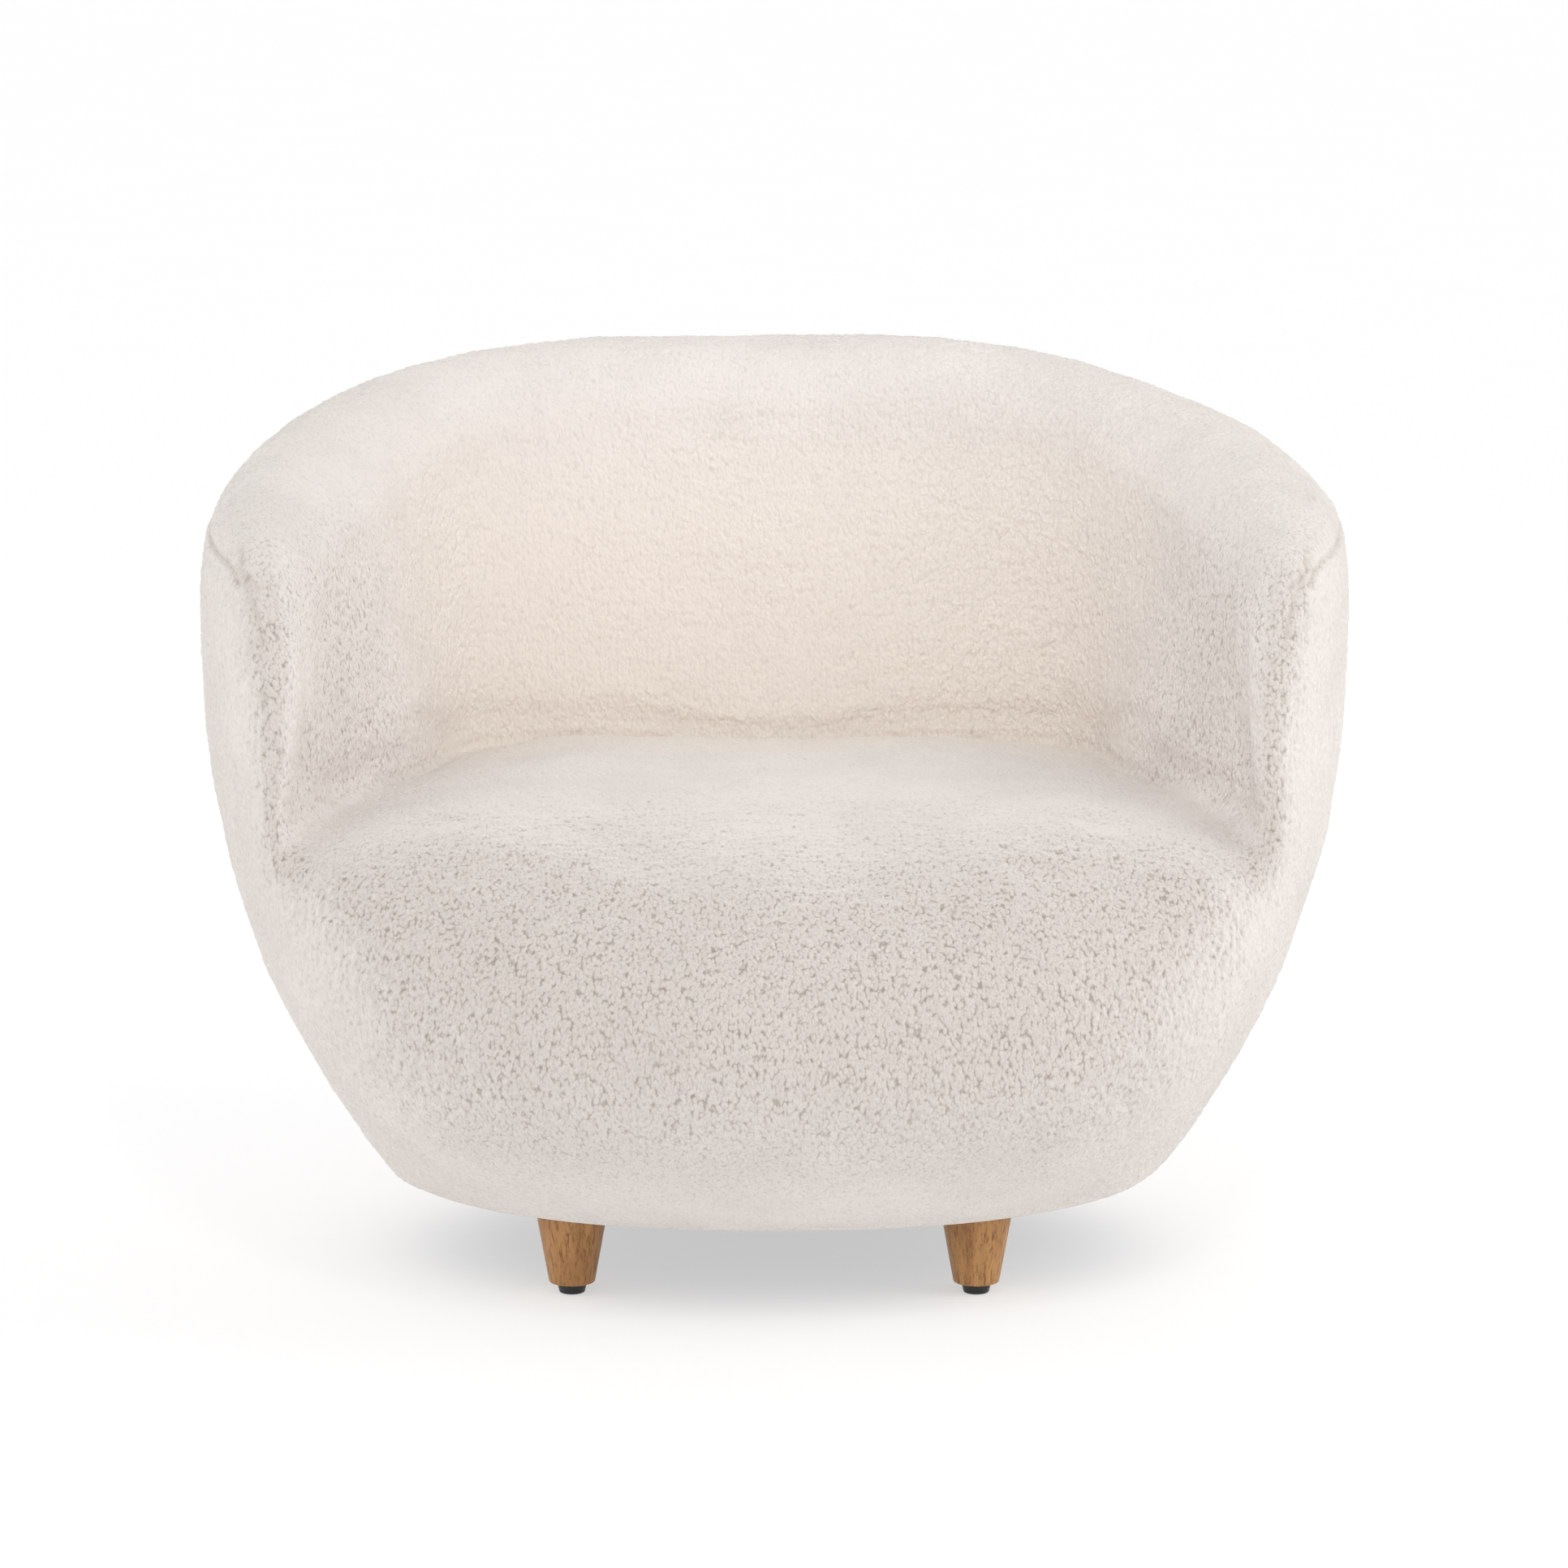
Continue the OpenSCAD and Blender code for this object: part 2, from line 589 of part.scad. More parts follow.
seat_ease = 8;                              // air between the seat foam and its wadding
module seat_foam() {
    n = len(seat_azimuths);
    function foam_edge(az) = from_front(az) < arm_tip ? 0.87 * body_r(az) : seat_r(az) - 3;
    function foam_top(az) = inset(
        [for (s = seat_shares) let (r = s * foam_edge(az)) [r, seat_z(az, r / body_r(az))]],
        foam_in + seat_ease, -1);
    tops = concat([[0, 0, seat_height - foam_in - seat_ease]],
        [for (az = seat_azimuths) each [for (p = foam_top(az)) place(p, az)]]);
    bottoms = [for (p = tops) [p[0], p[1], foam_bottom]];
    at = function (i, j) 1 + (i % n) * top_rows + j;
    faces = concat(
        [for (i = [0 : n - 1]) [0, at(i, 0), at(i + 1, 0)]],
        [for (i = [0 : n - 1], j = [0 : top_rows - 2])
            each [[at(i, j), at(i, j + 1), at(i + 1, j + 1)], [at(i, j), at(i + 1, j + 1), at(i + 1, j)]]]
    );
    color(foam_yellow) skin(tops, bottoms, faces, [for (i = [0 : n - 1]) at(i, top_rows - 1)]);
}

// ---------- underside ----------

dust_t = 0.8;
module dust_cover() {
    color([0.10, 0.10, 0.11])
    difference() {
        translate([0, 0, underside - dust_t]) linear_extrude(dust_t) polygon(outline(dust_reach));
        at_legs() translate([0, 0, underside - 2]) cylinder(d = leg_top_d + 0.4, h = 4, $fn = 64);
    }
}
staple_count = 36;
module staples() {
    color(steel)
    for (i = [0 : staple_count - 1])
        let (
            az = (i + 0.5) * 360 / staple_count,
            r = foot_r(az) - board_in - 14,
            clear = min([for (p = leg_places) norm([r * sin(az) - p[0], -r * cos(az) - p[1]])])
        )
        if (clear > leg_top_d / 2 + 8)
            rotate([0, 0, az]) translate([-6, -r, underside - dust_t - 0.7]) cube([12, 1.2, 0.7]);
}

// ---------- the chair ----------

leg(0);  // leg_front_left
leg(1);  // leg_front_right
leg(2);  // leg_rear_left
leg(3);  // leg_rear_right
glide(0);  // glide_front_left
glide(1);  // glide_front_right
glide(2);  // glide_rear_left
glide(3);  // glide_rear_right
glide_nails();
hanger_bolts();
t_nuts();
base_board();
seat_board();
frame_screws();
lower_rib(-lower_ribs[0]);  // lower_rib_front_left
lower_rib(lower_ribs[0]);  // lower_rib_front_right
lower_rib(-lower_ribs[1]);  // lower_rib_side_left
lower_rib(lower_ribs[1]);  // lower_rib_side_right
lower_rib(-lower_ribs[2]);  // lower_rib_corner_left
lower_rib(lower_ribs[2]);  // lower_rib_corner_right
lower_rib(-lower_ribs[3]);  // lower_rib_back_left
lower_rib(lower_ribs[3]);  // lower_rib_back_right
upper_rib(-upper_ribs[0]);  // upper_rib_arm_left
upper_rib(upper_ribs[0]);  // upper_rib_arm_right
upper_rib(-upper_ribs[1]);  // upper_rib_side_left
upper_rib(upper_ribs[1]);  // upper_rib_side_right
upper_rib(-upper_ribs[2]);  // upper_rib_corner_left
upper_rib(upper_ribs[2]);  // upper_rib_corner_right
upper_rib(-upper_ribs[3]);  // upper_rib_back_left
upper_rib(upper_ribs[3]);  // upper_rib_back_right
top_rail();
inner_panel();
outer_panel();
seat_spring(1);  // seat_spring_1
seat_spring(2);  // seat_spring_2
seat_spring(3);  // seat_spring_3
seat_spring(4);  // seat_spring_4
seat_spring(5);  // seat_spring_5
spring_clips();
tie_wires();
spring_pad();
seat_foam();
front_foam();
back_foam();
arm_foam(mirrored(foam_azimuths));  // arm_foam_left
arm_foam(foam_azimuths);  // arm_foam_right
arm_front_foam(mirrored(block_azimuths));  // arm_front_foam_left
arm_front_foam(block_azimuths);  // arm_front_foam_right
seat_wadding();
inside_wadding();
outside_wadding();
seat_cover();
inside_cover();
outside_cover(back_azimuths);  // outside_cover_back
outside_cover(mirrored(arm_azimuths));  // outside_cover_left
outside_cover(arm_azimuths);  // outside_cover_right
dust_cover();
staples();
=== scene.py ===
"""Looks of the tub armchair: bouclé upholstery, turned wooden legs, plastic glides and the parts inside."""

import json
import math
from functools import cache

import bpy
import numpy as np
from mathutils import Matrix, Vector
from mathutils.bvhtree import BVHTree
from mathutils.kdtree import KDTree


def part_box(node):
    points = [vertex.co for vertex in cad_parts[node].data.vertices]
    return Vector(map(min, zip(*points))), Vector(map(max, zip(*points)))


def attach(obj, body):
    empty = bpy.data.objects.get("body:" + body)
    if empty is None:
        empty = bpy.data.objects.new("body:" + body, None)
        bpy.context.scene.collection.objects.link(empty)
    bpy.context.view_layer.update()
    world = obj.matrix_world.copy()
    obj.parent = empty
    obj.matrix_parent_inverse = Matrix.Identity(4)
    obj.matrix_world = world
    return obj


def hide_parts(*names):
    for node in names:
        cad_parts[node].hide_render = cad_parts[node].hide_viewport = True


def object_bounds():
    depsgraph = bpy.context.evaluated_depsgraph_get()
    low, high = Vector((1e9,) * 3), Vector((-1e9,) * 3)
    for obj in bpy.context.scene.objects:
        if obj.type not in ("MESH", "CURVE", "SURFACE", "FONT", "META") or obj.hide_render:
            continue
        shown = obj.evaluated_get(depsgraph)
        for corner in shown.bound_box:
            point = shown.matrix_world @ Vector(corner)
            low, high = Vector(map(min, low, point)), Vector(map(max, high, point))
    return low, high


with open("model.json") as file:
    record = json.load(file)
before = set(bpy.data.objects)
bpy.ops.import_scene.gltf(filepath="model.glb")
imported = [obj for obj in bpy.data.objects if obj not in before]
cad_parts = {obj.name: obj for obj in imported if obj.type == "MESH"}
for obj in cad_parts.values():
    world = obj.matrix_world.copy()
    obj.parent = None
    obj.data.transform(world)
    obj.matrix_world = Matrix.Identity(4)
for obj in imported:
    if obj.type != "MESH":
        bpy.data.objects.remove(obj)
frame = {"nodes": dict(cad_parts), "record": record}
cad_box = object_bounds()

# ---------- measures of the upholstered body: metres, and degrees round from the front ----------

LO, HI = (np.array(v) for v in cad_box)
HALF_WIDTH = (HI[0] - LO[0]) / 2
FRONT = -LO[1]
BACK = HI[1]
TOP = HI[2]
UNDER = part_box("dust_cover")[1][2]

FOOT_HALF_WIDTH, FOOT_FRONT, FOOT_BACK = 0.288, 0.205, 0.255    # outline of the underside
FOOT_ROUND = 0.030      # edge between the underside and the outside
SIDE_POWER = 2.3        # how early the outside bulges
BULGE_Z = 0.215         # height of the widest place at the front
WAIST_Z = 0.490         # height of the widest place at the sides and back
BOARD_IN = 0.012        # base board's edge in from the foot's outline

SEAT_TOP = 0.376        # crown of the seat
SEAT_EDGE_TOP = 0.300   # where the seat's curve meets the apron
SEAT_FALL = 0.034       # fall of the seat towards the crease
SEAT_HALF_WIDTH, SEAT_BACK = 0.262, 0.203
ARM_FLARE = 0.100       # how far the seat widens towards the front, between the arms

RIM_FALL = 0.074        # fall of the rim from the back to the front, halved
RIM_ROUND = 0.060       # half thickness of the back's rim
ARM_ROUND = 0.040       # half thickness of the arms' rim
CORNER_RISE = 0.005     # rim's rise at the back corners
ARM_TIP = 57.5          # where an arm's front meets the apron
ARM_FULL = 70.0         # where an arm has its full height
ARM_THICK = 95.0        # where an arm has its full thickness
ARM_NOSE = 0.018        # how far an arm's front leans in
TIP = 0.010             # thickness of an arm's wall at its tip

BACK_SEAM = 125.0       # the two upright seams on the outside
SEAM_ANGLE = 22.5       # the rim seam, round the rim's section from level outwards
FORM_VOXEL, CLOTH_VOXEL, COVER_VOXEL = 0.005, 0.009, 0.0026


def ramp(a, b, x):
    """Smooth step: 0 at a, 1 at b."""
    t = np.clip((np.asarray(x, float) - a) / (b - a), 0, 1)
    return t * t * (3 - 2 * t)


def mix(a, b, t):
    return a + (b - a) * t


def from_front(az):
    """Degrees from the front, the same on both sides."""
    az = np.mod(az, 360)
    return np.where(az > 180, 360 - az, az)


def oval(az, side, front, back, n):
    """Radius of a squared oval with its own reach to the front and to the back."""
    s, c = np.sin(np.radians(az)), np.cos(np.radians(az))
    reach = np.where(c > 0, front, back)
    return ((np.abs(s) / side) ** n + (np.abs(c) / reach) ** n) ** (-1 / n)


def body_r(az):
    return oval(az, HALF_WIDTH, FRONT, BACK, 2.25)


def foot_r(az):
    return oval(az, FOOT_HALF_WIDTH, FOOT_FRONT, FOOT_BACK, 2.1)


def full_z(az):
    """Height at which the outside is widest."""
    return mix(BULGE_Z, WAIST_Z, ramp(30, 85, from_front(az)))


def crown_z(az):
    return np.minimum(full_z(az), SEAT_EDGE_TOP)


def side_r(az, z):
    """Radius of the outside at a height."""
    u = np.clip((z - UNDER) / (full_z(az) - UNDER), 0, 1)
    return foot_r(az) + (body_r(az) - foot_r(az)) * (1 - (1 - u) ** SIDE_POWER)


def foot_edge(az, count):
    """The rounded edge under the body, from level up to the slope that the outside starts with."""
    sweep = math.atan(float((full_z(az) - UNDER) / SIDE_POWER / (body_r(az) - foot_r(az))))
    a = np.linspace(0, sweep, count)
    return foot_r(az) + FOOT_ROUND * (np.sin(a) - math.tan(sweep / 2)), UNDER + FOOT_ROUND * (1 - np.cos(a))


def seat_r(az):
    """Radius of the crease round the seat; the outline is open to the front."""
    side = SEAT_HALF_WIDTH + ARM_FLARE * ramp(110, 50, from_front(az))
    return np.minimum(body_r(az) - TIP, oval(az, side, 1.2, SEAT_BACK, 5))


def seat_z(az, q):
    """Height of the seat at the share q of the body's radius."""
    n = mix(3, 6, ramp(10, 60, from_front(az)))
    depth = SEAT_FALL * mix(0.5, 0.9, ramp(140, 175, from_front(az)))
    fall = depth * ramp(50, 80, from_front(az)) * (q * body_r(az) / seat_r(az)) ** 4
    return crown_z(az) + (SEAT_TOP - crown_z(az)) * np.sqrt(np.clip(1 - np.minimum(1, q) ** n, 0, 1)) - fall


def seat_edge_z(az):
    return seat_z(az, seat_r(az) / body_r(az))


def arm_close(az):
    """How far an arm has come up to its full height: 0 at its tip, 1 behind."""
    t = np.clip((from_front(az) - ARM_TIP) / (ARM_FULL - ARM_TIP), 0, 1)
    return np.sqrt(1 - (1 - t) ** 2)


def rim_z(az):
    ff = from_front(az)
    rise = CORNER_RISE * ramp(118, 142, ff) * ramp(174, 152, ff)
    return mix(seat_edge_z(az) + TIP, TOP + rise - RIM_FALL * (1 + np.cos(np.radians(az))), arm_close(az))


def rim_half(az):
    """Half thickness of the wall at the rim."""
    full = mix(ARM_ROUND, RIM_ROUND, ramp(62, 105, from_front(az)))
    t = np.clip((from_front(az) - ARM_TIP) / (ARM_THICK - ARM_TIP), 0, 1)
    thick = np.sqrt(1 - (1 - t) ** 2)
    return np.minimum(mix(TIP / 2, full, thick), (body_r(az) - seat_r(az)) / 2 + 0.008 * arm_close(az))


def place(az, r, z):
    """Points at a radius and height, towards an azimuth."""
    a = np.radians(az)
    return np.stack([r * np.sin(a), -r * np.cos(a), z + 0 * r], -1)


def azimuth(co):
    return np.mod(np.degrees(np.arctan2(co[:, 0], -co[:, 1])), 360)


def radius(co):
    return np.hypot(co[:, 0], co[:, 1])


# ---------- meshes ----------

def make(name, co, faces, shade=True):
    me = bpy.data.meshes.new(name)
    me.from_pydata([tuple(p) for p in co], [], [tuple(f) for f in faces])
    me.update()
    ob = bpy.data.objects.new(name, me)
    bpy.context.scene.collection.objects.link(ob)
    if shade:
        me.shade_smooth()
    return ob


def coords(me):
    co = np.zeros(len(me.vertices) * 3)
    me.vertices.foreach_get("co", co)
    return co.reshape(-1, 3)


def polygons(me):
    """Corner indices of an all-quad mesh."""
    ix = np.zeros(len(me.loops), int)
    me.loops.foreach_get("vertex_index", ix)
    return ix.reshape(-1, 4)


def remesh(co, faces, size):
    """One closed all-quad skin round everything the faces enclose."""
    ob = make("work", co, faces, False)
    m = ob.modifiers.new("remesh", "REMESH")
    m.mode, m.voxel_size, m.adaptivity = "VOXEL", size, 0
    out = bpy.data.meshes.new_from_object(ob.evaluated_get(bpy.context.evaluated_depsgraph_get()))
    bpy.data.objects.remove(ob)
    co, quads = coords(out), polygons(out)
    bpy.data.meshes.remove(out)
    return co, quads


def edges_of(quads):
    e = np.concatenate([quads[:, [0, 1]], quads[:, [1, 2]], quads[:, [2, 3]], quads[:, [3, 0]]])
    return np.unique(np.sort(e, axis=1), axis=0)


def average(values, edges, n):
    """Mean of each point's neighbours."""
    a, b = edges[:, 0], edges[:, 1]
    count = np.bincount(a, minlength=n) + np.bincount(b, minlength=n)
    out = np.empty_like(values)
    for k in range(values.shape[1]):
        out[:, k] = np.bincount(a, values[b, k], n) + np.bincount(b, values[a, k], n)
    return out / np.maximum(count, 1)[:, None]


def smooth(co, edges, weight, times):
    """Moves each point towards its neighbours' mean by its weight."""
    for _ in range(times):
        co = co + weight[:, None] * (average(co, edges, len(co)) - co)
    return co


def normals_of(co, quads):
    d1 = co[quads[:, 2]] - co[quads[:, 0]]
    d2 = co[quads[:, 3]] - co[quads[:, 1]]
    fn = np.cross(d1, d2)
    n = np.zeros_like(co)
    for k in range(3):
        for c in range(4):
            n[:, k] += np.bincount(quads[:, c], fn[:, k], len(co))
    return n / np.maximum(np.linalg.norm(n, axis=1), 1e-12)[:, None]


def bump_out(co, n, amount):
    return co + n * amount[:, None]


def kd_tree(points):
    tree = KDTree(len(points))
    for i, q in enumerate(points):
        tree.insert(q, i)
    tree.balance()
    return tree


def net(columns, ring):
    """Points and faces of closed loops joined in a ring, or in a row with a cap at each end."""
    nc, nr = len(columns), len(columns[0])
    faces = []
    for i in range(nc if ring else nc - 1):
        for j in range(nr):
            a, b = i * nr, (i + 1) % nc * nr
            k = (j + 1) % nr
            faces.append((a + j, b + j, b + k, a + k))
    if not ring:
        for start, turn in ((0, 1), ((nc - 1) * nr, -1)):
            for j in range(nr // 2 - 1):
                q = (start + j, start + j + 1, start + nr - 2 - j, start + nr - 1 - j)
                faces.append(q[::turn])
    return np.concatenate(columns), faces


def wall_form():
    """The arms and back as one closed solid, from the underside over the rim and down to the underside."""
    columns = []
    front = np.concatenate([ARM_TIP + np.array([0, 0.2, 0.6, 1.2]), np.arange(ARM_TIP + 2, 72, 0.8)])
    for az in np.concatenate([front, np.arange(72, 289, 2.0), 360 - front[::-1]]):
        h = float(rim_half(az))
        cz = float(rim_z(az)) - h
        cr = float(body_r(az)) - h
        rs, zs = (list(v) for v in foot_edge(az, 6))
        foot_top = zs[-1]
        for s in np.linspace(0, 1, 20)[1:]:
            z = mix(foot_top, cz, s)
            rs.append(side_r(az, z))
            zs.append(z)
        for a in np.radians(np.linspace(0, 180, 19)[1:]):
            rs.append(cr + h * np.cos(a))
            zs.append(cz + h * np.sin(a))
        for s in np.linspace(0, 1, 10)[1:]:
            rs.append(mix(cr - h, seat_r(az), s))
            zs.append(mix(cz, seat_edge_z(az), s))
        for z in (0.28, 0.22, 0.16, 0.11, UNDER):
            rs.append(min(float(seat_r(az)), float(side_r(az, z)) - 0.030))
            zs.append(z)
        if len(rs) % 2:
            rs.append(rs[-1] + 0.004)
            zs.append(UNDER)
        rs, zs = np.array(rs, float), np.array(zs, float)
        lean_from = float(seat_edge_z(az)) + 0.01
        rs -= ARM_NOSE * (1 - float(arm_close(az))) * ramp(lean_from, lean_from + 0.1, zs)
        columns.append(place(az, rs, zs))
    return net(columns, False)


def seat_form():
    """The seat and the apron under it as one closed solid."""
    columns = []
    for az in np.arange(0, 360, 2.0):
        between_arms = float(from_front(az)) < ARM_TIP + 1
        edge = float(body_r(az)) if between_arms else float(seat_r(az)) + 0.012
        rs, zs = [0.002], [SEAT_TOP]
        for s in np.linspace(0.06, 1, 26):
            s = 1 - (1 - s) ** 1.3
            rs.append(s * edge)
            zs.append(float(seat_z(az, s * edge / body_r(az))))
        if between_arms:
            foot_rs, foot_zs = foot_edge(az, 6)
            for s in np.linspace(1, 0, 18)[1:-1]:
                z = mix(foot_zs[-1], float(crown_z(az)), s)
                rs.append(float(side_r(az, z)))
                zs.append(z)
            rs += list(foot_rs[::-1])
            zs += list(foot_zs[::-1])
        else:
            top = zs[-1]
            for s in np.linspace(1, 0, 23)[1:]:
                rs.append(min(edge, float(side_r(az, mix(UNDER, top, s))) - 0.03))
                zs.append(mix(UNDER, top, s))
        rs.append(0.002)
        zs.append(UNDER)
        columns.append(place(az, np.array(rs), np.array(zs)))
    return net(columns, True)


def body_form():
    wall, wall_faces = wall_form()
    seat, seat_faces = seat_form()
    faces = wall_faces + [tuple(i + len(wall) for i in f) for f in seat_faces]
    return remesh(np.concatenate([wall, seat]), faces, FORM_VOXEL)


def steady(co, edges):
    """Softens the whole form a little, and much more where an arm's front runs down into the apron."""
    ff = from_front(azimuth(co))
    arm = ramp(92, 72, ff) * ramp(34, 50, ff) * ramp(0.19, 0.27, co[:, 2])
    co = smooth(co, edges, np.full(len(co), 0.5), 3)
    return smooth(co, edges, 0.6 * arm, 56)


def settle(co):
    """The rim's small unevenness: the left back corner stands a little higher and fuller than the right."""
    az = azimuth(co)
    up = ramp(0.40, 0.60, co[:, 2])
    left = np.exp(-((az - 232) / 17) ** 2)
    right = np.exp(-((az - 118) / 17) ** 2)
    out = co.copy()
    out[:, 2] += up * (0.0060 * left - 0.0040 * right)
    out[:, :2] *= (1 + up * (0.008 * left - 0.006 * right))[:, None]
    return out


def hashed(cells, salt):
    """A repeatable number from 0 to 1 for each whole-number cell."""
    k = (cells * np.array([73856093, 19349663, 83492791])).sum(-1) + salt * 2654435
    k = (k ^ (k >> 13)) * 1274126177 & 0xFFFFFFFF
    k = (k ^ (k >> 15)) * 2246822519 & 0xFFFFFFFF
    return ((k ^ (k >> 13)) & 0xFFFFFF) / float(0xFFFFFF)


def cells(p):
    """Distances to the nearest and second nearest of points scattered one to a cell."""
    base = np.floor(p).astype(np.int64)
    near = np.full(len(p), 9.0)
    second = np.full(len(p), 9.0)
    for dx in (-1, 0, 1):
        for dy in (-1, 0, 1):
            for dz in (-1, 0, 1):
                c = base + np.array([dx, dy, dz])
                q = c + 0.1 + 0.8 * np.stack([hashed(c, k) for k in (1, 2, 3)], -1)
                d = np.linalg.norm(q - p, axis=1)
                second = np.minimum(second, np.maximum(near, d))
                near = np.minimum(near, d)
    return near, second


def cloud(p, salt):
    """Smooth noise from -1 to 1."""
    base = np.floor(p).astype(np.int64)
    f = p - base
    f = f * f * (3 - 2 * f)
    out = np.zeros(len(p))
    for k in range(8):
        d = np.array([k & 1, k >> 1 & 1, k >> 2])
        w = np.prod(np.where(d == 1, f, 1 - f), axis=1)
        out += w * hashed(base + d, salt)
    return 2 * out - 1


def along(points, step=0.002):
    """A smooth curve through the points, as close points, with the length run at each."""
    p = np.array(points, float)
    pad = np.concatenate([[2 * p[0] - p[1]], p, [2 * p[-1] - p[-2]]])
    out = []
    for i in range(len(p) - 1):
        a, b, c, d = pad[i:i + 4]
        n = max(2, int(np.linalg.norm(c - b) / step))
        for t in np.arange(n) / n:
            out.append(0.5 * (2 * b + (c - a) * t + (2 * a - 5 * b + 4 * c - d) * t ** 2
                              + (3 * b - a - 3 * c + d) * t ** 3))
    out.append(p[-1])
    out = np.array(out)
    run = np.concatenate([[0], np.cumsum(np.linalg.norm(np.diff(out, axis=0), axis=1))])
    return out, run


def seam_field(co, curve, reach):
    """Distance of each point to a curve, and the length run along it there; far points get reach."""
    tree = kd_tree(curve[0])
    lo, hi = curve[0].min(0) - reach, curve[0].max(0) + reach
    inside = np.nonzero(np.all((co > lo) & (co < hi), axis=1))[0]
    dist = np.full(len(co), reach)
    run = np.zeros(len(co))
    for i in inside:
        _, k, d = tree.find(co[i])
        if d < reach:
            dist[i], run[i] = d, curve[1][k]
    return dist, run


def snapped(points, tree):
    """The nearest places on a surface."""
    return [tree.find_nearest(Vector(p))[0] for p in points]


def swell(co, quads, hold, cap):
    """How far each point moves when the form is a cloth under pressure, held where hold is 1."""
    coarse, coarse_quads = remesh(co, quads, CLOTH_VOXEL)
    tree = kd_tree(co)
    pin = np.array([hold[tree.find(q)[1]] for q in coarse])
    ob = make("swelling", coarse, coarse_quads)
    group = ob.vertex_groups.new(name="hold")
    for i in np.nonzero(pin > 0.02)[0]:
        group.add([int(i)], float(pin[i]), "REPLACE")
    cloth = ob.modifiers.new("cloth", "CLOTH")
    st = cloth.settings
    st.quality = 4
    st.mass = 0.35
    st.tension_stiffness = st.compression_stiffness = 12
    st.shear_stiffness = 5
    st.bending_stiffness = 0.6
    st.use_pressure = True
    st.uniform_pressure_force = 4
    st.vertex_group_mass = "hold"
    st.pin_stiffness = 1
    st.effector_weights.gravity = 0
    cloth.collision_settings.use_collision = False
    scene = bpy.context.scene
    for f in range(1, 21):
        scene.frame_set(f)
    ev = ob.evaluated_get(bpy.context.evaluated_depsgraph_get())
    move = coords(ev.data) - coarse
    scene.frame_set(1)
    bpy.data.objects.remove(ob)
    size = np.linalg.norm(move, axis=1)
    move *= (np.minimum(size, cap) / np.maximum(size, 1e-9))[:, None]
    tree = kd_tree(coarse)
    out = np.zeros_like(co)
    for i, q in enumerate(co):
        found = tree.find_n(q, 4)
        w = np.array([1 / (d + 1e-4) for _, _, d in found])
        out[i] = (move[[k for _, k, _ in found]] * w[:, None]).sum(0) / w.sum()
    return out


def seams(tree):
    """The sewn lines by name, as curves on the surface held by the tree."""
    az = np.arange(57, 303.5, 1.5)
    found = {"crease": along(place(az, seat_r(az), seat_edge_z(az)))}
    front = [(0.392, -0.150, 0.566), (0.386, -0.175, 0.545), (0.372, -0.200, 0.505), (0.362, -0.190, 0.455),
             (0.352, -0.160, 0.405), (0.343, -0.120, 0.360), (0.340, -0.105, 0.345)]
    dart = [(0.374, -0.190, 0.540), (0.386, -0.175, 0.546), (0.396, -0.165, 0.549)]
    for side, name in ((1, "right"), (-1, "left")):
        found["arm_" + name] = along(snapped([(side * x, y, z) for x, y, z in front], tree))
        found["dart_" + name] = along(snapped([(side * x, y, z) for x, y, z in dart], tree))
    az = np.arange(66, 294.5, 2.0)
    h = rim_half(az)
    a = math.radians(SEAM_ANGLE)
    rim = place(az, body_r(az) - h + h * math.cos(a), rim_z(az) - h + h * math.sin(a))
    found["rim"] = along(snapped(rim, tree))
    for az, name in ((BACK_SEAM, "right"), (360 - BACK_SEAM, "left")):
        z = np.linspace(UNDER + 0.01, float(rim_z(az) - RIM_ROUND), 24)
        found["back_" + name] = along(snapped(place(np.full(24, az), side_r(az, z), z), tree))
    return found


def panel_mesh(name, co, quads, normals, values):
    """A piece made of some of the quads of the whole cover, shaded with the whole cover's normals."""
    used, inverse = np.unique(quads, return_inverse=True)
    quads = inverse.reshape(-1, 4)
    me = bpy.data.meshes.new(name)
    me.vertices.add(len(used))
    me.vertices.foreach_set("co", co[used].astype(np.float32).ravel())
    me.loops.add(quads.size)
    me.loops.foreach_set("vertex_index", quads.ravel().astype(np.int32))
    me.polygons.add(len(quads))
    me.polygons.foreach_set("loop_start", np.arange(0, quads.size, 4, dtype=np.int32))
    me.polygons.foreach_set("use_smooth", np.ones(len(quads), bool))
    me.update(calc_edges=True)
    me.normals_split_custom_set_from_vertices(normals[used].astype(np.float32))
    for key, v in values.items():
        a = me.attributes.new(key, "FLOAT", "POINT")
        a.data.foreach_set("value", v[used].astype(np.float32))
    ob = bpy.data.objects.new(name, me)
    bpy.context.scene.collection.objects.link(ob)
    return ob


def panels(co, quads):
    """Which panel each quad belongs to: 0 seat and apron, 1 inside and rim, 2 right, 3 back, 4 left."""
    c = co[quads].mean(1)
    az = azimuth(c)
    ff, r, z = from_front(az), radius(c), c[:, 2]
    h = rim_half(az)
    cr, cz = body_r(az) - h, rim_z(az) - h
    edge_z = seat_edge_z(az)
    inner = mix(seat_r(az), cr - h, np.clip((z - edge_z) / np.maximum(cz - edge_z, 1e-4), 0, 1))
    over = (z > cz) & (np.degrees(np.arctan2(z - cz, r - cr)) > SEAM_ANGLE)
    inside = over | ((z > edge_z) & (r < 0.5 * (inner + side_r(az, z))))
    off_seat = np.abs(z - seat_z(az, np.minimum(r, seat_r(az)) / body_r(az)))
    on_seat = (r < seat_r(az) + 0.004) & (off_seat < np.abs(r - inner)) & (z < edge_z + 0.06)
    out = np.where(az < BACK_SEAM, 2, np.where(az < 360 - BACK_SEAM, 3, 4))
    out = np.where(inside, 1, out)
    return np.where((ff < ARM_TIP) | (on_seat & (z > 0.2)), 0, out)


